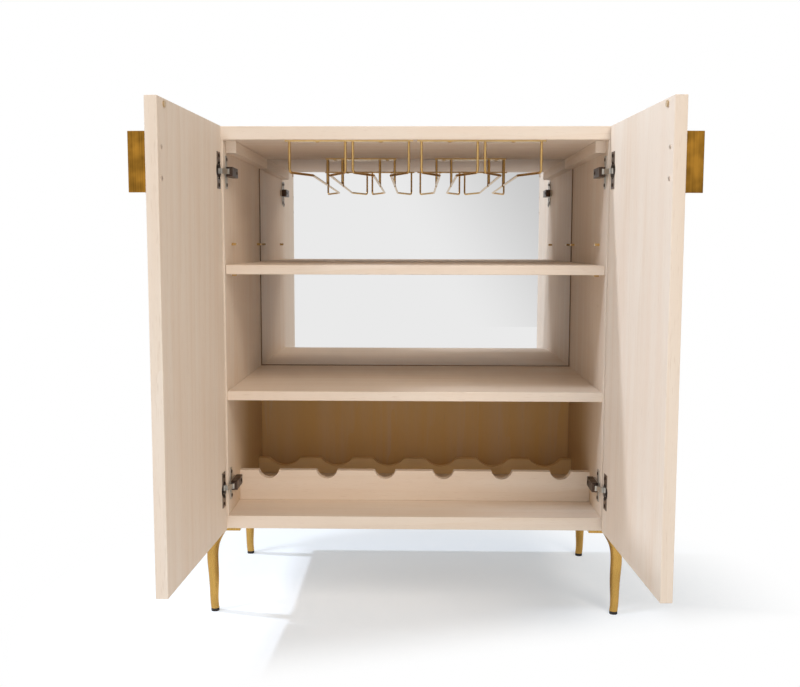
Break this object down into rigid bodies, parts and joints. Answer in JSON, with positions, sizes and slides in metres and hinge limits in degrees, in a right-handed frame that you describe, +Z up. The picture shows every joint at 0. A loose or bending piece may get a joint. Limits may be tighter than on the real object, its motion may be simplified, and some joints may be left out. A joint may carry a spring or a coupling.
{
  "type": "bar cabinet",
  "caption": "Wood bar armoire with double doors on concealed hinges, a mirror back, shelves, wire stemware racks, notched bottle rails and curved brass legs.",
  "frame": {"origin": "on the floor under the middle of the box that holds the cabinet with its doors open", "axes": "+Z up, -Y out of the front where the doors open, +X to the right as seen from the front"},
  "size_m": [0.8586, 0.8104, 0.95],
  "materials": {
    "whitewashed_wood": "whitewashed matt lacquer",
    "brass": "brushed",
    "plated_steel": "nickel plated",
    "mirror_glass": "silvered",
    "foot_rubber": "matt",
    "bumper_rubber": "matt",
    "dowel_beech": "raw"
  },
  "bodies": {
    "carcass": {"top_panel": "whitewashed_wood", "bottom_panel": "whitewashed_wood", "left_side_panel": "whitewashed_wood", "right_side_panel": "whitewashed_wood", "back_panel": "whitewashed_wood", "mirror_panel": "mirror_glass", "middle_shelf": "whitewashed_wood", "upper_shelf": "whitewashed_wood", "left_top_cleat": "whitewashed_wood", "right_top_cleat": "whitewashed_wood", "bottle_neck_rail": "whitewashed_wood", "bottle_body_rail": "whitewashed_wood", "carcass_dowels": "dowel_beech", "shelf_pins": "plated_steel", "back_panel_screws": "plated_steel", "front_left_leg": "brass", "front_right_leg": "brass", "rear_left_leg": "brass", "rear_right_leg": "brass", "foot_caps": "foot_rubber", "leg_screws": "plated_steel", "left_rack_bars": "brass", "right_rack_bars": "brass", "left_rack_outer_rails": "brass", "right_rack_outer_rails": "brass", "left_rack_inner_rails": "brass", "right_rack_inner_rails": "brass", "rack_screws": "brass", "left_upper_hinge_plate": "plated_steel", "right_upper_hinge_plate": "plated_steel", "left_upper_hinge_arm": "plated_steel", "right_upper_hinge_arm": "plated_steel", "left_lower_hinge_plate": "plated_steel", "right_lower_hinge_plate": "plated_steel", "left_lower_hinge_arm": "plated_steel", "right_lower_hinge_arm": "plated_steel", "hinge_plate_screws": "plated_steel", "hinge_arm_screws": "plated_steel", "hinge_arm_pins": "plated_steel"},
    "left_links": {"left_upper_hinge_link": "plated_steel", "left_lower_hinge_link": "plated_steel"},
    "right_links": {"right_upper_hinge_link": "plated_steel", "right_lower_hinge_link": "plated_steel"},
    "left_door": {"left_upper_hinge_cup": "plated_steel", "left_lower_hinge_cup": "plated_steel", "left_door": "whitewashed_wood", "left_door_pull": "brass", "left_pull_screws": "plated_steel", "left_door_bumper": "bumper_rubber", "left_cup_screws": "plated_steel", "left_cup_pins": "plated_steel"},
    "right_door": {"right_upper_hinge_cup": "plated_steel", "right_lower_hinge_cup": "plated_steel", "right_door": "whitewashed_wood", "right_door_pull": "brass", "right_pull_screws": "plated_steel", "right_door_bumper": "bumper_rubber", "right_cup_screws": "plated_steel", "right_cup_pins": "plated_steel"}
  },
  "joints": [
    {"name": "left_link_turn", "type": "hinge", "parent": "carcass", "child": "left_links", "pos_m": [-0.353, -0.01881, 0.866], "axis": [0, 0, 1], "range_deg": [-23.82, 4.5]},
    {"name": "left_door_swing", "type": "hinge", "parent": "left_links", "child": "left_door", "pos_m": [-0.36787, -0.03419, 0.866], "axis": [0, 0, 1], "range_deg": [-21.6, 116.52]},
    {"name": "right_link_turn", "type": "hinge", "parent": "carcass", "child": "right_links", "pos_m": [0.353, -0.01881, 0.866], "axis": [0, 0, -1], "range_deg": [-23.82, 4.5]},
    {"name": "right_door_swing", "type": "hinge", "parent": "right_links", "child": "right_door", "pos_m": [0.36787, -0.03419, 0.866], "axis": [0, 0, -1], "range_deg": [-21.6, 116.52]}
  ],
  "couplings": [
    {"joint": "left_link_turn", "follows": "left_door_swing", "ratio": -0.20357},
    {"joint": "right_link_turn", "follows": "right_door_swing", "ratio": -0.20357}
  ]
}
